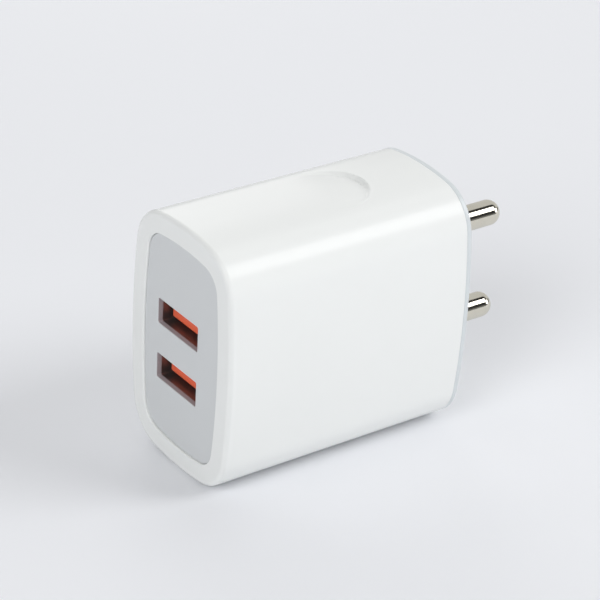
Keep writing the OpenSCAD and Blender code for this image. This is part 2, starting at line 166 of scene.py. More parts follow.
class NodeSheet:
    """The nodes of one material or of the world."""

    def __init__(self, tree: bpy.types.NodeTree) -> None:
        """Empties a node tree and starts to fill it.

        Args:
            tree: The tree of a material or of the world.
        """
        self.tree = tree
        self.tree.nodes.clear()

    def node(self, kind: str, inputs: dict[str | int, object], output: str | int = 0,
             **settings: str) -> Wire:
        """Adds a node, sets its settings, then fills its sockets.

        Args:
            kind: The node's type.
            inputs: A value, a colour or a wire for each socket, by name or number.
            output: The socket that the result is read from.
            settings: The node's settings by name, such as a Math node's operation.

        Returns:
            The wire that leaves the output, or that enters the node where it ends the sheet.
        """
        made = self.tree.nodes.new(kind)
        for name, value in settings.items():
            setattr(made, name, value)
        for name, value in inputs.items():
            if isinstance(value, Wire):
                self.tree.links.new(value.socket, made.inputs[name])
            else:
                made.inputs[name].default_value = value
        return Wire(self, (made.outputs or made.inputs)[output])

    def place(self) -> Wire:
        """Returns the place on the object, in metres."""
        return self.node("ShaderNodeTexCoord", {}, "Object")

    def noise(self, size: float, detail: float = 2.0, place: Wire | None = None) -> Wire:
        """Adds soft noise.

        Args:
            size: The width of its patches, in metres.
            detail: How many finer layers it has.
            place: Where it is read, if not at the place on the object.

        Returns:
            The noise, from 0 to 1.
        """
        sockets = {"Vector": place or self.place(), "Scale": 1 / size, "Detail": detail}
        return self.node("ShaderNodeTexNoise", sockets)

    def stretched(self, scale: tuple[float, float, float]) -> Wire:
        """Returns the place on the object, stretched along each axis by the given scale."""
        return self.node("ShaderNodeMapping", {"Vector": self.place(), "Scale": scale})

    def blend(self, amount: Wire, first: Colour | Wire, second: Colour | Wire) -> Wire:
        """Mixes two colours.

        Args:
            amount: 0 for the first colour, 1 for the second.
            first: A colour.
            second: Another colour.

        Returns:
            The mixed colour.
        """
        low, high = (part if isinstance(part, Wire) else (*part, 1.0) for part in (first, second))
        colour_sockets, result = (6, 7), 2
        inputs = {0: amount, **dict(zip(colour_sockets, (low, high)))}
        return self.node("ShaderNodeMix", inputs, result, data_type="RGBA")

    def relief(self, height: Wire, depth: float) -> Wire:
        """Turns a height into a bumpy normal.

        Args:
            height: The height, from 0 to 1.
            depth: The real depth of the relief, in metres.

        Returns:
            The normal.
        """
        return self.node("ShaderNodeBump", {"Strength": 1.0, "Distance": depth, "Height": height})

    def surface(self, inputs: dict[str, object]) -> None:
        """Adds the shader and ends the sheet in it.

        Args:
            inputs: The sockets of the Principled BSDF.
        """
        shader = self.node("ShaderNodeBsdfPrincipled", inputs)
        self.node("ShaderNodeOutputMaterial", {"Surface": shader})


# ---- Finishes --------------------------------------------------------------------------


@dataclass(frozen=True)
class Finish(ABC):
    """How one kind of surface looks.

    Attributes:
        slot: The record's material slot that it stands for, or the name of a studio cloth.
        colour: Its main colour.
        roughness: How dull it is.
        fade: The share of the colour that its darkest places keep.
        spread: How much less and how much more dull it is in places.
    """

    slot: str
    colour: Colour
    roughness: float
    fade: float = 0.975
    spread: tuple[float, float] = (0.03, 0.05)

    @abstractmethod
    def paint(self, sheet: NodeSheet) -> None:
        """Draws the finish on a node sheet."""

    def material(self) -> bpy.types.Material:
        """Returns the finish's material, made the first time that it is asked for."""
        known = bpy.data.materials.get(self.slot + "_finish")
        if known:
            return known
        made = bpy.data.materials.new(self.slot + "_finish")
        made.use_nodes = True
        self.paint(NodeSheet(made.node_tree))
        return made

    def faded(self) -> Colour:
        """Returns the colour of the darkest places."""
        return tuple(part * self.fade for part in self.colour)

    def tone(self, amount: Wire) -> Wire:
        """Returns the main colour, which fades as the amount rises."""
        return amount.sheet.blend(amount, self.colour, self.faded())

    def dullness(self, amount: Wire) -> Wire:
        """Returns the roughness, which rises with the amount from one end of its spread to the other."""
        less, more = self.spread
        return amount * (less + more) + (self.roughness - less)


@dataclass(frozen=True)
class GlossyMoulding(Finish):
    """Bright moulded plastic with a slight ripple in its gloss."""

    fade: float = 0.985
    spread: tuple[float, float] = (0.015, 0.015)
    shine: float = 0.5
    patch_size: float = 14 * MM
    haze_size: float = 16 * MM
    ripple_size: float = 5 * MM
    ripple_depth: float = 0.004 * MM

    def paint(self, sheet: NodeSheet) -> None:
        """Draws an even colour under a gloss that is dulled in soft patches."""
        sheet.surface({
            "Base Color": self.tone(sheet.noise(self.patch_size)),
            "Roughness": self.dullness(sheet.noise(self.haze_size, 0.0)),
            "IOR": 1.5,
            "Specular IOR Level": self.shine,
            "Normal": sheet.relief(sheet.noise(self.ripple_size, 1.0), self.ripple_depth),
        })


@dataclass(frozen=True)
class SatinMoulding(Finish):
    """Moulded plastic with the fine, even grain of a spark-eroded mould."""

    cloud_size: float = 6 * MM
    grain_size: float = 0.12 * MM
    grain_depth: float = 0.006 * MM

    def paint(self, sheet: NodeSheet) -> None:
        """Draws the grain as fine relief and as a small change of tone."""
        grain = sheet.noise(self.grain_size, 3.0)
        sheet.surface({
            "Base Color": self.tone(grain),
            "Roughness": self.dullness(sheet.noise(self.cloud_size)),
            "IOR": 1.48,
            "Normal": sheet.relief(grain, self.grain_depth),
        })


@dataclass(frozen=True)
class CutMoulding(SatinMoulding):
    """Grained plastic with painted shade on every wall behind its face.

    Attributes:
        face_end: The Y where the face ends and its walls begin.
        wall_tone: The painted shade colour laid on every wall behind the face.
    """

    face_end: float = -49.98 * MM
    wall_tone: Colour = (0.42, 0.38, 0.4)

    def paint(self, sheet: NodeSheet) -> None:
        """Draws the grain, and a painted shade tone where the place lies behind the face."""
        grain = sheet.noise(self.grain_size, 3.0)
        depth = sheet.node("ShaderNodeSeparateXYZ", {"Vector": sheet.place()}, "Y")
        sheet.surface({
            # Painted shade: every place behind the face, in the window walls and round the plate's edge,
            # takes the dark wall_tone.
            "Base Color": sheet.blend(depth > self.face_end, self.tone(grain), self.wall_tone),
            "Roughness": self.dullness(grain),
            "IOR": 1.48,
            "Normal": sheet.relief(grain, self.grain_depth),
        })


@dataclass(frozen=True)
class PlatedMetal(Finish):
    """Turned and plated metal with fine rings round its axis and tiny scuffs along it."""

    fade: float = 0.86
    spread: tuple[float, float] = (0.03, 0.06)
    ring_size: float = 0.05 * MM
    scuff_size: float = 0.1 * MM
    wear_size: float = 2.5 * MM
    mark_depth: float = 0.0005 * MM

    def paint(self, sheet: NodeSheet) -> None:
        """Draws turning marks across the depth and scuffs along it."""
        rings = sheet.noise(self.ring_size, 2.0, sheet.stretched((0.02, 1.0, 0.02)))
        scuffs = sheet.noise(self.scuff_size, 2.0, sheet.stretched((1.0, 0.06, 1.0)))
        sheet.surface({
            "Base Color": self.tone(sheet.noise(self.wear_size, 3.0)),
            "Metallic": 1.0,
            "Roughness": self.dullness(scuffs),
            "Normal": sheet.relief(rings * 0.6 + scuffs * 0.4, self.mark_depth),
        })


@dataclass(frozen=True)
class RolledSheet(Finish):
    """Rolled sheet metal, with the fine lines of rolling along the depth."""

    fade: float = 0.8
    spread: tuple[float, float] = (0.06, 0.1)
    line_size: float = 0.04 * MM
    line_depth: float = 0.0012 * MM
    stain_size: float = 1.5 * MM

    def paint(self, sheet: NodeSheet) -> None:
        """Draws rolling lines and a slight stain."""
        lines = sheet.noise(self.line_size, 3.0, sheet.stretched((1.0, 0.03, 1.0)))
        sheet.surface({
            "Base Color": self.tone(sheet.noise(self.stain_size, 3.0)),
            "Metallic": 1.0,
            "Roughness": self.dullness(lines),
            "Normal": sheet.relief(lines, self.line_depth),
        })


@dataclass(frozen=True)
class BoardMask(Finish):
    """Solder mask over a glass-fibre board, with the tracks showing through it."""

    spread: tuple[float, float] = (0.06, 0.08)
    copper_tone: Colour = (0.09, 0.33, 0.12)
    track_size: float = 3.2 * MM
    track_edge: float = 0.36
    weave_size: float = 0.3 * MM
    relief_depth: float = 0.02 * MM

    def paint(self, sheet: NodeSheet) -> None:
        """Draws broad tracks under the mask and the weave of the board."""
        cells = sheet.node("ShaderNodeTexVoronoi", {"Vector": sheet.place(), "Scale": 1 / self.track_size},
                           "Distance", distance="CHEBYCHEV", feature="F1")
        tracks = cells > self.track_edge
        weave = sheet.noise(self.weave_size, 1.0)
        sheet.surface({
            "Base Color": sheet.blend(tracks, self.copper_tone, self.colour),
            "Roughness": self.dullness(weave),
            "IOR": 1.55,
            "Normal": sheet.relief(tracks * 0.7 + weave * 0.3, self.relief_depth),
        })


@dataclass(frozen=True)
class WoundWire(Finish):
    """Close turns of round wire, laid side by side along the depth.

    Attributes:
        pitch: The distance from one turn to the next.
        pitch_scale: The Wave node's scale that puts its bands one unit apart.
    """

    fade: float = 0.45
    spread: tuple[float, float] = (0.05, 0.1)
    metallic: float = 0.9
    pitch: float = 0.28 * MM
    pitch_scale: float = 0.314
    haze_size: float = 1 * MM
    ridge_depth: float = 0.1 * MM

    def paint(self, sheet: NodeSheet) -> None:
        """Draws the turns as ridges across the depth, with painted shade that darkens the colour towards
        the valleys between them.
        """
        inputs = {"Vector": sheet.place(), "Scale": self.pitch_scale / self.pitch, "Distortion": 0.4}
        turns = sheet.node("ShaderNodeTexWave", inputs, 1, bands_direction="Y", wave_profile="SIN")
        sheet.surface({
            # Painted shade: the colour falls to the faded tone in the valleys between the turns.
            "Base Color": sheet.blend(turns, self.faded(), self.colour),
            "Metallic": self.metallic,
            "Roughness": self.dullness(sheet.noise(self.haze_size)),
            "Normal": sheet.relief(turns, self.ridge_depth),
        })


@dataclass(frozen=True)
class MouldedEpoxy(Finish):
    """Dull moulded epoxy or phenolic with a pitted skin."""

    fade: float = 0.75
    spread: tuple[float, float] = (0.08, 0.1)
    mottle_size: float = 1.2 * MM
    pit_size: float = 0.15 * MM
    pit_depth: float = 0.015 * MM

    def paint(self, sheet: NodeSheet) -> None:
        """Draws fine pits and a mottled tone."""
        pits = sheet.noise(self.pit_size, 4.0)
        sheet.surface({
            "Base Color": self.tone(sheet.noise(self.mottle_size)),
            "Roughness": self.dullness(pits),
            "Normal": sheet.relief(pits, self.pit_depth),
        })


@dataclass(frozen=True)
class DippedLacquer(Finish):
    """Thick dipped lacquer, wavy where it ran before it set."""

    fade: float = 0.8
    spread: tuple[float, float] = (0.05, 0.08)
    haze_size: float = 0.5 * MM
    run_size: float = 1.8 * MM
    run_depth: float = 0.12 * MM

    def paint(self, sheet: NodeSheet) -> None:
        """Draws slow waves and thin spots in the lacquer."""
        runs = sheet.noise(self.run_size)
        sheet.surface({
            "Base Color": sheet.blend(runs, self.faded(), self.colour),
            "Roughness": self.dullness(sheet.noise(self.haze_size)),
            "Normal": sheet.relief(runs, self.run_depth),
        })


@dataclass(frozen=True)
class StudioCloth(Finish):
    """The dull paper or cloth of the studio."""

    fade: float = 0.985
    fibre_size: float = 1 * MM

    def paint(self, sheet: NodeSheet) -> None:
        """Draws the fibres as a small change of tone."""
        fibres = sheet.noise(self.fibre_size, 3.0)
        sheet.surface({"Base Color": self.tone(fibres), "Roughness": self.roughness})


class Finishes:
    """Every finish on the charger, by the record's slot."""

    white_case = GlossyMoulding("white_case", (0.85, 0.864, 0.855), 0.2, shine=0.22)
    pale_grey_cover = GlossyMoulding("pale_grey_cover", (0.66, 0.7, 0.72), 0.3)
    grey_panel = CutMoulding("grey_panel", (0.65, 0.668, 0.68), 0.42)
    nickel = PlatedMetal("nickel", (0.72, 0.69, 0.6), 0.08)
    port_steel = RolledSheet("port_steel", (0.36, 0.345, 0.34), 0.42)
    orange_insulator = SatinMoulding("orange_insulator", (1.0, 0.17, 0.08), 0.32)
    gold_plate = RolledSheet("gold_plate", (0.95, 0.7, 0.3), 0.3)
    green_board = BoardMask("green_board", (0.015, 0.16, 0.06), 0.35)
    solder = RolledSheet("solder", (0.72, 0.73, 0.75), 0.28)
    tinned_wire = RolledSheet("tinned_wire", (0.68, 0.68, 0.67), 0.32)
    contact_brass = RolledSheet("contact_brass", (0.76, 0.55, 0.22), 0.3)
    ferrite = MouldedEpoxy("ferrite", (0.025, 0.025, 0.027), 0.5)
    black_bobbin = MouldedEpoxy("black_bobbin", (0.012, 0.012, 0.013), 0.38)
    enamelled_copper = WoundWire("enamelled_copper", (0.6, 0.2, 0.05), 0.28)
    insulated_wire = WoundWire("insulated_wire", (0.85, 0.6, 0.3), 0.35, metallic=0.0)
    yellow_tape = DippedLacquer("yellow_tape", (0.85, 0.55, 0.03), 0.3)
    capacitor_can = RolledSheet("capacitor_can", (0.8, 0.81, 0.82), 0.3)
    capacitor_sleeve = DippedLacquer("capacitor_sleeve", (0.012, 0.018, 0.09), 0.25)
    black_epoxy = MouldedEpoxy("black_epoxy", (0.01, 0.01, 0.011), 0.45)
    green_lacquer = DippedLacquer("green_lacquer", (0.07, 0.24, 0.13), 0.3)
    blue_lacquer = DippedLacquer("blue_lacquer", (0.01, 0.09, 0.38), 0.3)
    chip_ceramic = MouldedEpoxy("chip_ceramic", (0.46, 0.33, 0.18), 0.4)
    clear_sheet = SatinMoulding("clear_sheet", (0.8, 0.8, 0.74), 0.3)

    @classmethod
    def named(cls, slot: str) -> Finish:
        """Returns the finish for a slot of the record."""
        return getattr(cls, slot)


# ---- Outlines and sweeps ---------------------------------------------------------------


@dataclass(frozen=True)
class Turn:
    """An arc in the X-Z plane, counter-clockwise seen from the front.

    Attributes:
        centre: The X and Z of its centre.
        angle: How far it turns, in radians.
        steps: How many edges it has.
    """

    centre: tuple[float, float]
    angle: float
    steps: int


@dataclass(frozen=True)
class Run:
    """A straight stretch in the X-Z plane, given by its X and Z lengths."""

    along: tuple[float, float]


@dataclass(frozen=True)
class Ring:
    """A corner of a swept profile: how far inside the outline it lies, and its Y."""

    inset: float
    depth: float


class Outline(ABC):
    """A closed outline in the X-Z plane that a profile can be swept along."""

    @abstractmethod
    def start(self) -> tuple[float, float]:
        """Returns a point on the +X side, where the sweep starts."""

    @abstractmethod
    def stretches(self) -> list[Turn | Run]:
        """Returns the stretches that lead from the start once round and back to it."""

    def sweep(self, mesh: BMesh, rings: Sequence[Ring], closed: bool = False) -> list[list[BMEdge]]:
        """Draws a profile at the start and carries it once round the outline.

        Args:
            mesh: The mesh to draw in.
            rings: The corners of the profile.
            closed: Whether the last corner is joined to the first.

        Returns:
            The edges that each corner has drawn round the outline.
        """
        old_faces = set(mesh.faces)
        marks = mesh.verts.layers.int["ring"]
        x, z = self.start()
        verts = [mesh.verts.new((x - ring.inset, ring.depth, z)) for ring in rings]
        for number, vert in enumerate(verts, 1):
            vert[marks] = number
        ends = verts[1:] + (verts[:1] if closed else [])
        front = verts + [mesh.edges.new(pair) for pair in zip(verts, ends)]
        for stretch in self.stretches():
            if isinstance(stretch, Turn):
                centre = (stretch.centre[0], 0, stretch.centre[1])
                front = bmesh.ops.spin(mesh, geom=front, cent=centre, axis=(0, -1, 0), dvec=(0, 0, 0),
                                       angle=stretch.angle, steps=stretch.steps,
                                       use_duplicate=False)["geom_last"]
            else:
                edges = [part for part in front if isinstance(part, BMEdge)]
                grown = bmesh.ops.extrude_edge_only(mesh, edges=edges)["geom"]
                front = [part for part in grown if not isinstance(part, BMFace)]
                moved = [part for part in front if isinstance(part, BMVert)]
                bmesh.ops.translate(mesh, verts=moved, vec=(stretch.along[0], 0, stretch.along[1]))
        faces = [face for face in mesh.faces if face not in old_faces]
        bmesh.ops.remove_doubles(mesh, verts=parts_of(faces)[0], dist=WELD)
        faces = [face for face in mesh.faces if face not in old_faces]
        for face in faces:
            face.smooth = True
        edges = parts_of(faces)[1]
        loops: list[list[BMEdge]] = [[] for _ in rings]
        for edge in edges:
            first, second = (vert[marks] for vert in edge.verts)
            if first == second:
                loops[first - 1].append(edge)
        for edge in edges:
            for vert in edge.verts:
                vert[marks] = 0
        return loops


@dataclass(frozen=True)
class BodyOutline(Outline):
    """Section of the block: four shallow bows joined by four corner arcs.

    Attributes:
        width: Distance between the large sides.
        height: Distance between the narrow sides.
        side_bow: Radius of the large sides.
        end_bow: Radius of the narrow sides.
        corner: Radius of the corners.
        side_steps: Edges in half a large side.
        end_steps: Edges in half a narrow side.
        corner_steps: Edges in a corner.
    """

    width: float
    height: float
    side_bow: float = 133 * MM
    end_bow: float = 50 * MM
    corner: float = 8.3 * MM
    side_steps: int = 12
    end_steps: int = 20
    corner_steps: int = 18

    def centres(self) -> tuple[Vector, Vector, Vector]:
        """Returns the centres of the +X side's bow, the +Z end's bow and the corner between them."""
        side = Vector((self.width / 2 - self.side_bow, 0))
        end = Vector((0, self.height / 2 - self.end_bow))
        gap = end - side
        to_side, to_end = self.side_bow - self.corner, self.end_bow - self.corner
        foot = (to_side**2 - to_end**2 + gap.length_squared) / (2 * gap.length)
        rise = math.sqrt(to_side**2 - foot**2)
        along = gap.normalized()
        return side, end, side + along * foot + Vector((-along.y, along.x)) * rise

    def start(self) -> tuple[float, float]:
        """Returns the middle of the +X side."""
        return self.width / 2, 0.0

    def stretches(self) -> list[Turn | Run]:
        """Returns the nine arcs that lead round the block from the middle of the +X side."""
        side, end, corner = self.centres()
        to_corner, to_top = corner - side, corner - end
        side_turn = math.atan2(to_corner.y, to_corner.x)
        top_turn = math.atan2(to_top.y, to_top.x)
        half_side = Turn((side.x, 0), side_turn, self.side_steps)
        arcs: list[Turn | Run] = [half_side]
        for way in (1, -1):
            arcs += [
                Turn((way * corner.x, way * corner.y), top_turn - side_turn, self.corner_steps),
                Turn((0, way * end.y), math.pi - 2 * top_turn, 2 * self.end_steps),
                Turn((-way * corner.x, way * corner.y), top_turn - side_turn, self.corner_steps),
            ]
            if way > 0:
                arcs.append(Turn((-side.x, 0), 2 * side_turn, 2 * self.side_steps))
        return arcs + [half_side]


@dataclass(frozen=True)
class WindowOutline(Outline):
    """A rectangle with round corners.

    Attributes:
        width: Its length along X.
        height: Its length along Z.
        corner: Its corner radius.
        centre: The X and Z of its middle.
        steps: Edges in each corner.
    """

    width: float
    height: float
    corner: float
    centre: tuple[float, float]
    steps: int = 6

    def start(self) -> tuple[float, float]:
        """Returns the lower end of the +X side."""
        return self.centre[0] + self.width / 2, self.centre[1] - self.height / 2 + self.corner

    def stretches(self) -> list[Turn | Run]:
        """Returns the four sides, each with the corner that follows it."""
        run_x, run_z = self.width / 2 - self.corner, self.height / 2 - self.corner
        x, z = self.centre
        found: list[Turn | Run] = []
        for along, side_x, side_z in (((0, 2 * run_z), 1, 1), ((-2 * run_x, 0), -1, 1),
                                      ((0, -2 * run_z), -1, -1), ((2 * run_x, 0), 1, -1)):
            centre = (x + side_x * run_x, z + side_z * run_z)
            found += [Run(along), Turn(centre, math.pi / 2, self.steps)]
        return found


@dataclass(frozen=True)
class Circle(Outline):
    """A circle round an axis along Y.

    Attributes:
        radius: Its radius.
        centre: The X and Z of its middle.
        steps: Its edges.
    """

    radius: float
    centre: tuple[float, float]
    steps: int = 48

    def start(self) -> tuple[float, float]:
        """Returns the circle's +X point."""
        return self.centre[0] + self.radius, self.centre[1]

    def stretches(self) -> list[Turn | Run]:
        """Returns the one arc that goes all the way round."""
        return [Turn(self.centre, 2 * math.pi, self.steps)]


def parts_of(faces: Sequence[BMFace]) -> tuple[list[BMVert], list[BMEdge]]:
    """Lists the points and the edges of faces, each once, in the order in which the faces have them.

    Args:
        faces: The faces.

    Returns:
        The points, then the edges.
    """
    verts = dict.fromkeys(vert for face in faces for vert in face.verts)
    edges = dict.fromkeys(edge for face in faces for edge in face.edges)
    return list(verts), list(edges)


def round_edges(mesh: BMesh, edges: Iterable[BMEdge], radius: float, segments: int) -> None:
    """Rounds edges.

    Args:
        mesh: The mesh that holds them.
        edges: The edges.
        radius: How far the rounding reaches.
        segments: How many faces it has across.
    """
    made = bmesh.ops.bevel(mesh, geom=list(edges), offset=radius, offset_type="OFFSET", segments=segments,
                           profile=0.5, affect="EDGES", material=-1, clamp_overlap=True)
    for face in made["faces"]:
        face.smooth = True


def cap(mesh: BMesh, loops: Sequence[list[BMEdge]]) -> None:
    """Fills the flat, flat-shaded face between an outer loop and the loops of its holes.

    Args:
        mesh: The mesh that holds them.
        loops: The loops, all in one plane.
    """
    edges = [edge for loop in loops for edge in loop]
    if len(loops) == 1:
        bmesh.ops.edgeloop_fill(mesh, edges=edges, use_smooth=False)
    else:
        bmesh.ops.triangle_fill(mesh, edges=edges, use_beauty=True, use_dissolve=False)


def add_block(mesh: BMesh, size: tuple[float, float, float], centre: tuple[float, float, float],
              radius: float) -> None:
    """Adds a block with rounded edges.

    Args:
        mesh: The mesh to add it to.
        size: Its lengths.
        centre: Its middle.
        radius: How far its edges are rounded.
    """
    verts = bmesh.ops.create_cube(mesh, size=1.0)["verts"]
    bmesh.ops.scale(mesh, verts=verts, vec=size)
    bmesh.ops.translate(mesh, verts=verts, vec=centre)
    edges = dict.fromkeys(edge for vert in verts for edge in vert.link_edges)
    round_edges(mesh, edges, radius, segments=2)


def score(mesh: BMesh, faces: Sequence[BMFace], point: Vector, way: Vector) -> None:
    """Cuts faces along a plane.

    Args:
        mesh: The mesh that holds them.
        faces: The faces.
        point: A point of the plane.
        way: The way that it faces.
    """
    verts, edges = parts_of(faces)
    bmesh.ops.bisect_plane(mesh, geom=[*verts, *edges, *faces], dist=WELD, plane_co=point, plane_no=way)


def cut_flat(mesh: BMesh, z: float, xs: Iterable[float], ys: Iterable[float]) -> None:
    """Scores the flat face at a height along lines of one X or one Y.

    Args:
        mesh: The mesh that holds the face.
        z: The height of the face.
        xs: The X of each line that runs along the depth.
        ys: The Y of each line that runs across it.
    """
    lines = [(Vector((x, 0, 0)), Vector((1, 0, 0))) for x in xs]
    lines += [(Vector((0, y, 0)), Vector((0, 1, 0))) for y in ys]
    for point, way in lines:
        score(mesh, flat_faces(mesh, z), point, way)


def flat_faces(mesh: BMesh, z: float) -> list[BMFace]:
    """Returns the level faces that lie at a height."""
    return [face for face in mesh.faces if all(abs(vert.co.z - z) < 2 * WELD for vert in face.verts)]


def push(mesh: BMesh, faces: Sequence[BMFace], rise: float) -> list[BMFace]:
    """Moves faces along Z and draws the walls that join them to the rest.

    Args:
        mesh: The mesh that holds them.
        faces: The faces.
        rise: How far they go up.

    Returns:
        The moved faces.
    """
    grown = bmesh.ops.extrude_face_region(mesh, geom=[*faces, *parts_of(faces)[1]])["geom"]
    moved = [part for part in grown if isinstance(part, BMVert)]
    bmesh.ops.translate(mesh, verts=moved, vec=(0, 0, rise))
    return [part for part in grown if isinstance(part, BMFace)]


def lies_within(face: BMFace, low: tuple[float, float], high: tuple[float, float]) -> bool:
    """Tells whether the middle of a face lies in a rectangle of X and Y."""
    middle = face.calc_center_median()
    return low[0] < middle.x < high[0] and low[1] < middle.y < high[1]


def marked_mesh() -> BMesh:
    """Returns an empty mesh whose points can carry a ring number."""
    mesh = bmesh.new()
    mesh.verts.layers.int.new("ring")
    return mesh


def link_mesh(name: str, mesh: BMesh, finish: Finish) -> bpy.types.Object:
    """Turns a mesh into an object of the scene.

    Args:
        name: The object's name.
        mesh: The mesh, which is used up.
        finish: Its finish.

    Returns:
        The object.
    """
    data = bpy.data.meshes.new(name)
    mesh.to_mesh(data)
    mesh.free()
    data.materials.append(finish.material())
    made = bpy.data.objects.new(name, data)
    bpy.context.scene.collection.objects.link(made)
    return made


@dataclass
class Piece:
    """A finished mesh that becomes an object of the model.

    Attributes:
        name: The piece's name.
        finish: Its finish.
        stands_for: The CAD nodes that it replaces.
        body: The CAD body that it rides on.
        mesh: The mesh, which starts empty.
        crease: Edges sharper than this angle are shaded as sharp.
    """

    name: str
    finish: Finish
    stands_for: tuple[str, ...]
    body: str = CHARGER
    mesh: BMesh = field(default_factory=marked_mesh)
    crease: float = math.radians(38)

    def build(self) -> None:
        """Turns the mesh into an object, dresses it and hangs it on its body."""
        bmesh.ops.remove_doubles(self.mesh, verts=self.mesh.verts, dist=WELD)
        bmesh.ops.recalc_face_normals(self.mesh, faces=self.mesh.faces)
        for edge in self.mesh.edges:
            edge.smooth = edge.calc_face_angle(0.0) < self.crease
        made = link_mesh(self.name, self.mesh, self.finish)
        made.modifiers.new("even_shading", "WEIGHTED_NORMAL").keep_sharp = True
        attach(made, self.body)
        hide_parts(*self.stands_for)
        LOG.info("%s: %d faces for %s", self.name, len(made.data.polygons), ", ".join(self.stands_for))


# ---- Case ------------------------------------------------------------------------------


def node_middle(node: str) -> Vector:
    """Returns the middle of a CAD node's box."""
    low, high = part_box(node)
    return (low + high) / 2


@dataclass(frozen=True)
class Block:
    """Depths that the parts of the case share.

    Attributes:
        front: The Y of the front rim.
        seam: The Y of the seam between sleeve and rear cover.
        back: The Y of the seating face.
        outline: The section of the block.
    """

    front: float
    seam: float
    back: float
    outline: BodyOutline

    @classmethod
    def from_frame(cls) -> "Block":
        """Reads the depths from the CAD frame."""
        sleeve_low, sleeve_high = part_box("housing")
        cover_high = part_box("rear_cover")[1]
        size = sleeve_high - sleeve_low
        return cls(sleeve_low.y, sleeve_high.y, cover_high.y, BodyOutline(width=size.x, height=size.z))

    def at(self, depth: float) -> float:
        """Returns the Y of a depth behind the front rim."""
        return self.front + depth


@dataclass(frozen=True)
class ThumbScoop:
    """A shallow round dip in a narrow side, deepest at its rear edge.

    Attributes:
        middle: Depth of its centre behind the front rim.
        radius: Its radius.
        deep: How far its floor lies below the side at the rear edge.
        lip: Width of the sloping wall round it.
    """

    middle: float = 29.6 * MM
    radius: float = 7.3 * MM
    deep: float = 0.95 * MM
    lip: float = 0.62 * MM

    def drop(self, across: float, depth: float) -> float:
        """Works out how far a point of the side sinks when the dip is pressed into it.

        Args:
            across: The point's X.
            depth: Its depth behind the front rim.

        Returns:
            How far it sinks.
        """
        reach = math.hypot(across, depth - self.middle)
        wall = min(max((self.radius - reach) / self.lip, 0.0), 1.0)
        slope = min(max((depth - self.middle + self.radius) / (2 * self.radius), 0.0), 1.0)
        return self.deep * slope**3 * wall * wall * (3 - 2 * wall)


@dataclass
class Sleeve:
    """The white sleeve: a closed tube with a rim, a seat for the panel and two thumb scoops."""

    block: Block
    wall: float = 2.2 * MM
    front_wall: float = 3.4 * MM
    rim: float = 4.0 * MM
    ledge: float = 1.6 * MM
    seat: float = 1.9 * MM
    front_round: float = 0.9 * MM
    rim_round: float = 0.22 * MM
    seam_round: float = 0.1 * MM
    scoop: ThumbScoop = ThumbScoop()
    scoop_step: float = 0.3 * MM
    scoop_zone: float = 1.2 * MM
    rail_size: tuple[float, float, float] = (1.55 * MM, 25 * MM, 3.9 * MM)
    rail_x: float = 8.775 * MM
    rail_depth: float = 32.5 * MM
    rail_z: float = 19.05 * MM
    rail_round: float = 0.15 * MM

    def build(self) -> None:
        """Sweeps the tube, rounds its edges and presses the scoops into it."""
        piece = Piece("case_sleeve", Finishes.white_case, ("housing",))
        at, mesh = self.block.at, piece.mesh
        seam = self.block.seam - self.block.front
        window = self.rim + self.ledge
        corners = ((self.wall, seam), (0, seam), (0, 0), (self.rim, 0), (self.rim, self.seat),
                   (window, self.seat), (window, self.front_wall), (self.wall, self.front_wall))
        rings = [Ring(inset, at(depth)) for inset, depth in corners]
        loops = self.block.outline.sweep(mesh, rings, closed=True)
        round_edges(mesh, loops[2], self.front_round, segments=8)
        round_edges(mesh, loops[3], self.rim_round, segments=4)
        round_edges(mesh, loops[1], self.seam_round, segments=3)
        self._press_scoops(mesh)
        self._add_rails(mesh)
        piece.build()

    def _press_scoops(self, mesh: BMesh) -> None:
        """Cuts the outside finely round the scoops, then lowers its points.

        Args:
            mesh: The sleeve.
        """
        reach = self.scoop.radius + self.scoop_step
        count = round(2 * reach / self.scoop_step)
        outside = self.block.outline.height / 2 - self.scoop_zone
        for step in range(count + 1):
            depth = self.scoop.middle - reach + 2 * reach * step / count
            faces = [face for face in mesh.faces if min(abs(vert.co.z) for vert in face.verts) > outside]
            score(mesh, faces, Vector((0, self.block.at(depth), 0)), Vector((0, 1, 0)))
        for vert in mesh.verts:
            if abs(vert.co.z) > outside:
                drop = self.scoop.drop(vert.co.x, vert.co.y - self.block.front)
                vert.co.z -= math.copysign(drop, vert.co.z)

    def _add_rails(self, mesh: BMesh) -> None:
        """Adds the two inner ledges that the main board stands on.

        Args:
            mesh: The sleeve.
        """
        for side in (-1, 1):
            centre = (self.rail_x, self.block.at(self.rail_depth), side * self.rail_z)
            add_block(mesh, self.rail_size, centre, self.rail_round)


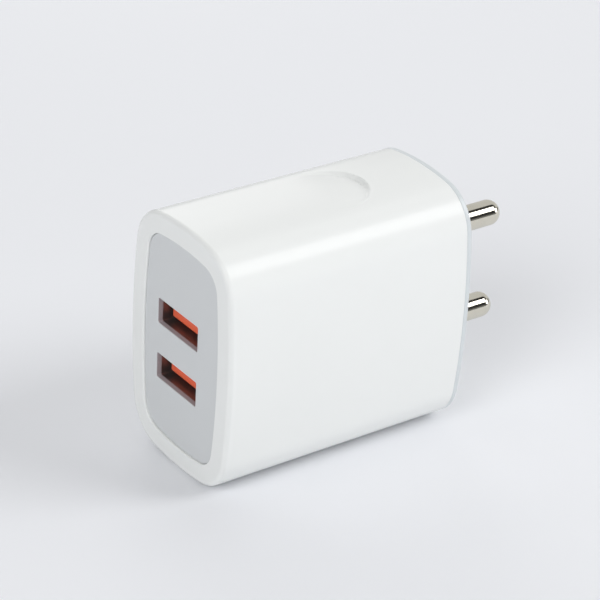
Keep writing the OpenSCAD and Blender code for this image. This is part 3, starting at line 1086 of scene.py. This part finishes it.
@dataclass
class FrontPanel:
    """The grey plate in the rim, with a window for each port and a pocket behind it."""

    block: Block
    port_places: tuple[tuple[float, float], ...]
    rim: float = 4.08 * MM
    sunk: float = 0.4 * MM
    thick: float = 1.5 * MM
    window: tuple[float, float] = (12.2 * MM, 4.8 * MM)
    pocket: tuple[float, float] = (13.4 * MM, 6.02 * MM)
    window_thick: float = 1.0 * MM
    edge_round: float = 0.18 * MM
    window_round: float = 0.1 * MM
    frame_inset: float = 5.68 * MM
    frame_wide: float = 1.12 * MM
    frame_deep: float = 1.0 * MM
    window_corner: float = 0.3 * MM
    pocket_corner: float = 0.6 * MM

    def build(self) -> None:
        """Sweeps the plate's edge and its windows, then fills the faces between them."""
        piece = Piece("port_panel", Finishes.grey_panel, ("front_panel",))
        mesh, at = piece.mesh, self.block.at
        face, back = at(self.sunk), at(self.sunk + self.thick)
        frame_back = back + self.frame_deep
        inner = self.frame_inset + self.frame_wide
        outer = self.block.outline.sweep(mesh, [
            Ring(self.rim, face), Ring(self.rim, back), Ring(self.frame_inset, back),
            Ring(self.frame_inset, frame_back), Ring(inner, frame_back), Ring(inner, back)])
        fronts, ledges, backs, rounded = [outer[0]], [], [outer[-1]], [outer[0]]
        for centre in self.port_places:
            ledge = face + self.window_thick
            near = WindowOutline(*self.window, self.window_corner, centre).sweep(
                mesh, [Ring(0, face), Ring(0, ledge)])
            far = WindowOutline(*self.pocket, self.pocket_corner, centre).sweep(
                mesh, [Ring(0, ledge), Ring(0, back)])
            ledges.append([near[1], far[0]])
            fronts.append(near[0])
            backs.append(far[1])
            rounded.append(near[0])
        for loops in (fronts, backs, *ledges):
            cap(mesh, loops)
        round_edges(mesh, rounded[0], self.edge_round, segments=4)
        for loop in rounded[1:]:
            round_edges(mesh, loop, self.window_round, segments=3)
        piece.build()


@dataclass
class RearCover:
    """The pale plate that closes the sleeve and carries the pins."""

    block: Block
    pin_places: tuple[float, ...]
    edge_round: float = 0.3 * MM
    seam_round: float = 0.1 * MM
    spigot_inset: float = 2.28 * MM
    spigot_wide: float = 1.4 * MM
    spigot_deep: float = 4.0 * MM
    plate: float = 2.2 * MM
    shank: float = 2.6 * MM
    boss: float = 4.6 * MM
    boss_deep: float = 7.3 * MM

    def build(self) -> None:
        """Sweeps the plate with its spigot and spins the bosses round the pins."""
        piece = Piece("back_cover", Finishes.pale_grey_cover, ("rear_cover",))
        mesh, back, seam = piece.mesh, self.block.back, self.block.seam
        inner = self.spigot_inset + self.spigot_wide
        loops = self.block.outline.sweep(mesh, [
            Ring(0, back), Ring(0, seam), Ring(self.spigot_inset, seam),
            Ring(self.spigot_inset, back - self.spigot_deep), Ring(inner, back - self.spigot_deep),
            Ring(inner, back - self.plate)])
        boss_end = back - self.boss_deep
        bosses = [Circle(self.shank, (0, place)).sweep(mesh, [
            Ring(0, back), Ring(0, boss_end), Ring(self.shank - self.boss, boss_end),
            Ring(self.shank - self.boss, back - self.plate)]) for place in self.pin_places]
        cap(mesh, [loops[0], *(boss[0] for boss in bosses)])
        cap(mesh, [loops[-1], *(boss[-1] for boss in bosses)])
        round_edges(mesh, loops[0], self.edge_round, segments=4)
        round_edges(mesh, loops[1], self.seam_round, segments=3)
        piece.build()


@dataclass
class MainsPin:
    """One round pin with its moulded-in shank, collar and solder stub."""

    name: str
    node: str
    block: Block
    height: float
    radius: float = 2.4 * MM
    shank: float = 2.6 * MM
    collar: float = 3.3 * MM
    stub: float = 1.1 * MM
    length: float = 18 * MM
    stub_deep: float = 9.0 * MM
    shank_deep: float = 7.3 * MM
    collar_deep: tuple[float, float] = (5.3 * MM, 4.1 * MM)
    segments: int = 64
    tip_steps: int = 14

    def build(self) -> None:
        """Draws half the pin's outline, rounds its tip and spins it round the axis."""
        piece = Piece(self.name, Finishes.nickel, (self.node,))
        mesh, back = piece.mesh, self.block.back
        deep, shallow = self.collar_deep
        steps = [(0, self.stub_deep), (self.stub, self.stub_deep), (self.stub, self.shank_deep),
                 (self.shank, self.shank_deep), (self.shank, deep), (self.collar, deep),
                 (self.collar, shallow), (self.shank, shallow), (self.shank, 0), (self.radius, 0),
                 (self.radius, self.radius - self.length)]
        verts = [mesh.verts.new((radius, back - depth, self.height)) for radius, depth in steps]
        for first, second in zip(verts, verts[1:]):
            mesh.edges.new((first, second))
        tip = (0, back + self.length - self.radius, self.height)
        bmesh.ops.spin(mesh, geom=[verts[-1]], cent=tip, axis=(0, 0, 1), dvec=(0, 0, 0), angle=math.pi / 2,
                       steps=self.tip_steps, use_duplicate=False)
        bmesh.ops.spin(mesh, geom=[*mesh.verts, *mesh.edges], cent=(0, 0, self.height), axis=(0, 1, 0),
                       dvec=(0, 0, 0), angle=2 * math.pi, steps=self.segments, use_merge=True,
                       use_duplicate=False)
        for face in mesh.faces:
            face.smooth = True
        piece.build()


# ---- Ports -----------------------------------------------------------------------------


class Level(Enum):
    """Which of the two ports a part belongs to."""

    UPPER = "upper"
    LOWER = "lower"


@dataclass(frozen=True)
class ContactStrip:
    """A spring strip that bows up to a crown and then slopes down to its root.

    Attributes:
        bends: Depth and height above the port's middle of each bend, from tip to root.
        thick: Thickness of the metal.
        width: Width of the strip.
        cells: Faces along it.
        softness: How far on each side of a bend the metal is curved.
    """

    bends: tuple[tuple[float, float], ...] = ((4.0, -0.35), (5.0, 0.22), (6.4, -0.25), (11.7, -0.35))
    thick: float = 0.22 * MM
    width: float = 0.9 * MM
    cells: int = 60
    softness: float = 0.24

    def straight(self, depth: float) -> float:
        """Returns the height at a depth if the bends were sharp, both in millimetres."""
        for (near, low), (far, high) in zip(self.bends, self.bends[1:]):
            if depth <= far:
                return low + (high - low) * (depth - near) / (far - near)
        return self.bends[-1][1]

    def height(self, depth: float) -> float:
        """Works out the height of the middle of the metal.

        Args:
            depth: The depth behind the front rim, in millimetres.

        Returns:
            The height above the port's middle, in metres.
        """
        reach = min(self.softness, depth - self.bends[0][0], self.bends[-1][0] - depth)
        near = [self.straight(depth + reach * step / 3) for step in range(-3, 4)]
        return sum(near) / len(near) * MM

    def draw(self, mesh: BMesh, block: Block, x: float, z: float) -> None:
        """Bends one strip into shape and gives it its thickness.

        Args:
            mesh: The mesh to draw in.
            block: The block that the depths are measured in.
            x: The X of the strip's middle.
            z: The Z of the port's middle.
        """
        tip, root = self.bends[0][0], self.bends[-1][0]
        verts = bmesh.ops.create_grid(mesh, x_segments=1, y_segments=self.cells, size=0.5)["verts"]
        bmesh.ops.scale(mesh, verts=verts, vec=(self.width, (root - tip) * MM, 1))
        bmesh.ops.translate(mesh, verts=verts, vec=(x, block.at((tip + root) / 2 * MM), z))
        for vert in verts:
            vert.co.z += self.height((vert.co.y - block.front) / MM) + self.thick / 2
        faces = list(dict.fromkeys(face for vert in verts for face in vert.link_faces))
        for face in faces:
            face.smooth = True
        bmesh.ops.solidify(mesh, geom=faces, thickness=self.thick)


@dataclass
class UsbPort:
    """One USB-A port: a folded shell, an insulator tongue, four spring strips and their tails.

    Attributes:
        level: Which port it is.
        centre: The X and Z of its middle.
    """

    block: Block
    level: Level
    centre: tuple[float, float]
    shell: tuple[float, float] = (13.1 * MM, 5.72 * MM)
    shell_round: float = 0.6 * MM
    sheet: float = 0.3 * MM
    mouth: float = 1.45 * MM
    length: float = 13.0 * MM
    tongue: tuple[float, float] = (11.1 * MM, 1.72 * MM)
    tongue_front: float = 3.0 * MM
    base_front: float = 11.4 * MM
    strip_places: tuple[float, ...] = (-3.5 * MM, -1.0 * MM, 1.0 * MM, 3.5 * MM)
    strip: ContactStrip = ContactStrip()
    groove: tuple[float, float] = (1.3 * MM, 0.95 * MM)
    groove_front: float = 3.7 * MM
    leaf: tuple[float, float] = (1.7 * MM, 4.6 * MM)
    leaf_front: float = 4.2 * MM
    leaf_places: tuple[float, ...] = (-3.2 * MM, 3.2 * MM)
    slit: float = 0.25 * MM
    mouth_round: float = 0.1 * MM
    tab: tuple[float, float] = (2.4 * MM, 2.4 * MM)
    tab_reach: float = 1.1 * MM
    tab_round: float = 0.05 * MM
    tongue_corner: float = 0.35 * MM
    nose_round: float = 0.34 * MM
    overlap: float = 0.2 * MM
    base_play: float = 0.7 * MM
    base_corner: float = 0.3 * MM
    base_back: float = 0.05 * MM
    base_round: float = 0.08 * MM

    @classmethod
    def on_level(cls, block: Block, level: Level) -> "UsbPort":
        """Returns the port that stands where its CAD shell does."""
        middle = node_middle(level.value + "_port_shell")
        return cls(block, level, (middle.x, middle.z))

    def build(self) -> None:
        """Builds the port's pieces."""
        self._build_shell()
        self._build_tongue()
        self._build_springs()

    def node(self, part: str) -> str:
        """Returns the name of one of the port's CAD nodes."""
        return f"{self.level.value}_port_{part}"

    def _build_shell(self) -> None:
        """Sweeps the folded shell, inside and out, with a rounded mouth."""
        piece = Piece(self.level.value + "_socket_shell", Finishes.port_steel, (self.node("shell"),))
        mesh, at = piece.mesh, self.block.at
        outline = WindowOutline(*self.shell, self.shell_round, self.centre, steps=8)
        far = self.mouth + self.length
        rings = [Ring(0, at(far)), Ring(0, at(self.mouth)), Ring(self.sheet, at(self.mouth)),
                 Ring(self.sheet, at(far))]
        loops = outline.sweep(mesh, rings, closed=True)
        round_edges(mesh, [*loops[1], *loops[2]], self.mouth_round, segments=3)
        for side in (-1, 1):
            self._cut_leaves(mesh, side)
        self._add_tabs(mesh, far)
        piece.build()

    def _cut_leaves(self, mesh: BMesh, side: int) -> None:
        """Slits the upper or the lower wall round two spring leaves.

        Args:
            mesh: The shell.
            side: 1 for the upper wall, -1 for the lower.
        """
        outer = self.centre[1] + side * self.shell[1] / 2
        inner = outer - side * self.sheet
        front, root = self.block.at(self.leaf_front), self.block.at(self.leaf_front + self.leaf[1])
        half = self.leaf[0] / 2
        for place in self.leaf_places:
            x = self.centre[0] + place
            xs = [x - half - self.slit, x - half, x + half, x + half + self.slit]
            for z in (outer, inner):
                cut_flat(mesh, z, xs, (front - self.slit, front, root))
            slits = [((xs[0], front - self.slit), (xs[3], front)), ((xs[0], front), (xs[1], root)),
                     ((xs[2], front), (xs[3], root))]
            skin, lining = ([face for face in flat_faces(mesh, z)
                             if any(lies_within(face, *slit) for slit in slits)] for z in (outer, inner))
            doubled = lining + push(mesh, skin, inner - outer)
            bmesh.ops.delete(mesh, geom=doubled, context="FACES")
            bmesh.ops.remove_doubles(mesh, verts=mesh.verts, dist=WELD)

    def _add_tabs(self, mesh: BMesh, far: float) -> None:
        """Adds the two tabs that hold the shell in the port board.

        Args:
            mesh: The shell.
            far: The depth of the shell's rear end.
        """
        for side in (-1, 1):
            x = self.centre[0] + side * (self.shell[0] - self.sheet) / 2
            place = (x, self.block.at(far + self.tab_reach), self.centre[1])
            add_block(mesh, (self.sheet, *self.tab), place, self.tab_round)

    def _build_tongue(self) -> None:
        """Sweeps the tongue with its rounded nose, and the block behind it."""
        name = self.level.value + "_socket_tongue"
        piece = Piece(name, Finishes.orange_insulator, (self.node("tongue"),))
        mesh, at = piece.mesh, self.block.at
        x, z = self.centre
        width, thick = self.tongue
        nose = WindowOutline(width, thick, self.tongue_corner, (x, z - thick / 2))
        root = self.base_front + self.overlap
        loops = nose.sweep(mesh, [Ring(0, at(self.tongue_front)), Ring(0, at(root))])
        for loop in loops:
            cap(mesh, [loop])
        round_edges(mesh, loops[0], self.nose_round, segments=5)
        self._sink_grooves(mesh)
        wide, high = (size - self.base_play for size in self.shell)
        base = WindowOutline(wide, high, self.base_corner, self.centre)
        far = self.mouth + self.length - self.base_back
        ends = base.sweep(mesh, [Ring(0, at(self.base_front)), Ring(0, at(far))])
        for end in ends:
            cap(mesh, [end])
        round_edges(mesh, [*ends[0], *ends[1]], self.base_round, segments=2)
        piece.build()

    def _sink_grooves(self, mesh: BMesh) -> None:
        """Sinks a groove for each strip into the top of the tongue.

        Args:
            mesh: The tongue.
        """
        x, top = self.centre
        wide, deep = self.groove
        front, back = self.block.at(self.groove_front), self.block.at(self.base_front)
        sides = [(x + place - wide / 2, x + place + wide / 2) for place in self.strip_places]
        cut_flat(mesh, top, [edge for pair in sides for edge in pair], (front, back))
        floors = [face for face in flat_faces(mesh, top)
                  if any(lies_within(face, (low, front), (high, back)) for low, high in sides)]
        push(mesh, floors, -deep)

    def _build_springs(self) -> None:
        """Bends four strips that lie in the grooves, each with a round crown near its tip."""
        level = self.level.value
        piece = Piece(level + "_contact_springs", Finishes.gold_plate, (self.node("springs"),),
                      level + "_springs")
        for place in self.strip_places:
            self.strip.draw(piece.mesh, self.block, self.centre[0] + place, self.centre[1])
        piece.build()


# ---- Parts inside ----------------------------------------------------------------------


class InnerParts:
    """The CAD parts that stay as they are and only get their finish."""

    @staticmethod
    def dress(frame: dict[str, object]) -> None:
        """Gives every CAD node the finish of its slot.

        Args:
            frame: The loaded frame.
        """
        slots = {part["node"]: part["material_slot"] for part in frame["record"]["subparts"]}
        for name, node in frame["nodes"].items():
            finish = Finishes.named(slots[name])
            node.data.materials.clear()
            node.data.materials.append(finish.material())


# ---- Studio ----------------------------------------------------------------------------


@dataclass(frozen=True)
class SoftBox:
    """A square soft box that faces the block, with two sides parallel to the depth.

    Attributes:
        name: Its name.
        way: The way from the block to it.
        power: Its power in watts.
        size: The length of its sides.
        border: Width of the black cloth round it, or nothing.
        distance: How far away it hangs.
    """

    name: str
    way: tuple[float, float, float]
    power: float
    size: float = 0.9
    border: float = 0.0
    distance: float = 1.0

    def hang(self) -> None:
        """Makes the lamp, and its border where it has one."""
        out = Vector(self.way).normalized()
        across = out.cross(Vector((0, 1, 0))).normalized()
        facing = Matrix((across, out.cross(across), out)).transposed().to_4x4()
        facing = Matrix.Translation(out * self.distance) @ facing
        light = bpy.data.lights.new(self.name, "AREA")
        light.shape = "SQUARE"
        light.size = self.size
        light.energy = self.power
        lamp = bpy.data.objects.new(self.name, light)
        lamp.matrix_world = facing
        lamp.visible_camera = False
        bpy.context.scene.collection.objects.link(lamp)
        if self.border:
            self._add_border(facing)

    def _add_border(self, facing: Matrix) -> None:
        """Lays black cloth round the lamp, which only mirror surfaces show.

        Args:
            facing: The lamp's place and turn.
        """
        mesh = bmesh.new()
        bmesh.ops.create_grid(mesh, x_segments=1, y_segments=1, size=self.size / 2 + self.border)
        frame = bmesh.ops.inset_region(mesh, faces=mesh.faces[:], thickness=self.border,
                                       use_boundary=True, use_even_offset=True)["faces"]
        middle = [face for face in mesh.faces if face not in frame]
        bmesh.ops.delete(mesh, geom=middle, context="FACES")
        bmesh.ops.transform(mesh, verts=mesh.verts, matrix=facing)
        cloth = StudioCloth("black_cloth", (0.02, 0.02, 0.02), 0.7)
        border = stage_piece(self.name + "_border", mesh, cloth)
        border.visible_camera = False
        border.visible_diffuse = False
        border.visible_shadow = False


def stage_piece(name: str, mesh: BMesh, finish: Finish) -> bpy.types.Object:
    """Makes an object that belongs to the studio.

    Args:
        name: Its name.
        mesh: Its mesh, which is used up.
        finish: Its finish.

    Returns:
        The object.
    """
    made = link_mesh(name, mesh, finish)
    made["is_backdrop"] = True
    return made


@dataclass
class Studio:
    """A pale floor, soft light and the camera."""

    floor: Finish = StudioCloth("paper_floor", (0.845, 0.855, 0.886), 0.7, fibre_size=0.4 * MM)
    floor_size: float = 3.0
    dome_colour: Colour = (0.99, 1.0, 1.0)
    dome_strength: float = 0.22
    boxes: tuple[SoftBox, ...] = (
        SoftBox("key_box", (0.527, 0.527, 0.667), 3.15, 0.44, border=0.4),
        SoftBox("high_box", (0.62, -0.3, 0.72), 0.6),
        SoftBox("side_box", (0.9, -0.3, 0.3), 0.9),
        SoftBox("left_box", (-0.8, 0.05, 0.5), 1.35),
        SoftBox("rear_box", (-0.5, 0.7, 0.55), 3.6, 1.5),
        SoftBox("low_box", (0.5, 0.95, 0.3), 2.2, 0.4),
        SoftBox("front_box", (0.36, -0.8, 0.58), 4.1, 0.5),
        SoftBox("wash_box", (-0.8, 0.25, 0.4), 0.19, 0.25, distance=0.45),
    )
    aim: tuple[float, float, float] = (0.0, -28.06 * MM, 0.0)
    azimuth: float = 53.03
    elevation: float = 28.69
    roll: float = -3.3
    distance: float = 435.8 * MM
    shift_right: float = 2.015 * MM
    shift_up: float = 3.156 * MM
    lens: float = 150.25
    sensor: float = 36.0

    def build(self) -> None:
        """Sets up the camera, the floor and the lights."""
        self._camera()
        mesh = bmesh.new()
        bmesh.ops.create_grid(mesh, x_segments=1, y_segments=1, size=self.floor_size)
        bmesh.ops.translate(mesh, verts=mesh.verts, vec=(0, 0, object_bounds()[0].z))
        stage_piece("floor", mesh, self.floor)
        world = bpy.data.worlds.new("surround")
        bpy.context.scene.world = world
        world.use_nodes = True
        sheet = NodeSheet(world.node_tree)
        inputs = {"Color": (*self.dome_colour, 1.0), "Strength": self.dome_strength}
        sheet.node("ShaderNodeOutputWorld", {"Surface": sheet.node("ShaderNodeBackground", inputs)})
        for box in self.boxes:
            box.hang()
        bpy.context.scene.view_settings.view_transform = "Standard"

    def _camera(self) -> None:
        """Places the camera round the block, with the slight roll it is held at."""
        turn, rise, tilt = (math.radians(angle) for angle in (self.azimuth, self.elevation, self.roll))
        flat = Vector((math.sin(turn), -math.cos(turn), 0))
        back = flat * math.cos(rise) + Vector((0, 0, math.sin(rise)))
        right = Vector((math.cos(turn), math.sin(turn), 0))
        up = back.cross(right)
        across = right * math.cos(tilt) - up * math.sin(tilt)
        above = right * math.sin(tilt) + up * math.cos(tilt)
        place = Vector(self.aim) + back * self.distance + right * self.shift_right + up * self.shift_up
        made = bpy.data.objects.new("camera", bpy.data.cameras.new("camera"))
        facing = Matrix((across, above, back)).transposed().to_4x4()
        made.matrix_world = Matrix.Translation(place) @ facing
        made.data.lens = self.lens
        made.data.sensor_width = self.sensor
        bpy.context.scene.collection.objects.link(made)
        bpy.context.scene.camera = made


# ---- Assembly --------------------------------------------------------------------------


def main() -> None:
    """Builds the charger round its CAD frame."""
    logging.basicConfig(level=logging.INFO, format="%(message)s")
    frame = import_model()
    InnerParts.dress(frame)
    block = Block.from_frame()
    ports = [UsbPort.on_level(block, level) for level in Level]
    pins = {"line": node_middle("line_pin").z, "neutral": node_middle("neutral_pin").z}
    Studio().build()
    Sleeve(block).build()
    FrontPanel(block, tuple(port.centre for port in ports)).build()
    RearCover(block, tuple(pins.values())).build()
    for name, height in pins.items():
        MainsPin(name + "_plug_pin", name + "_pin", block, height).build()
    for port in ports:
        port.build()


if __name__ == "__main__":
    main()
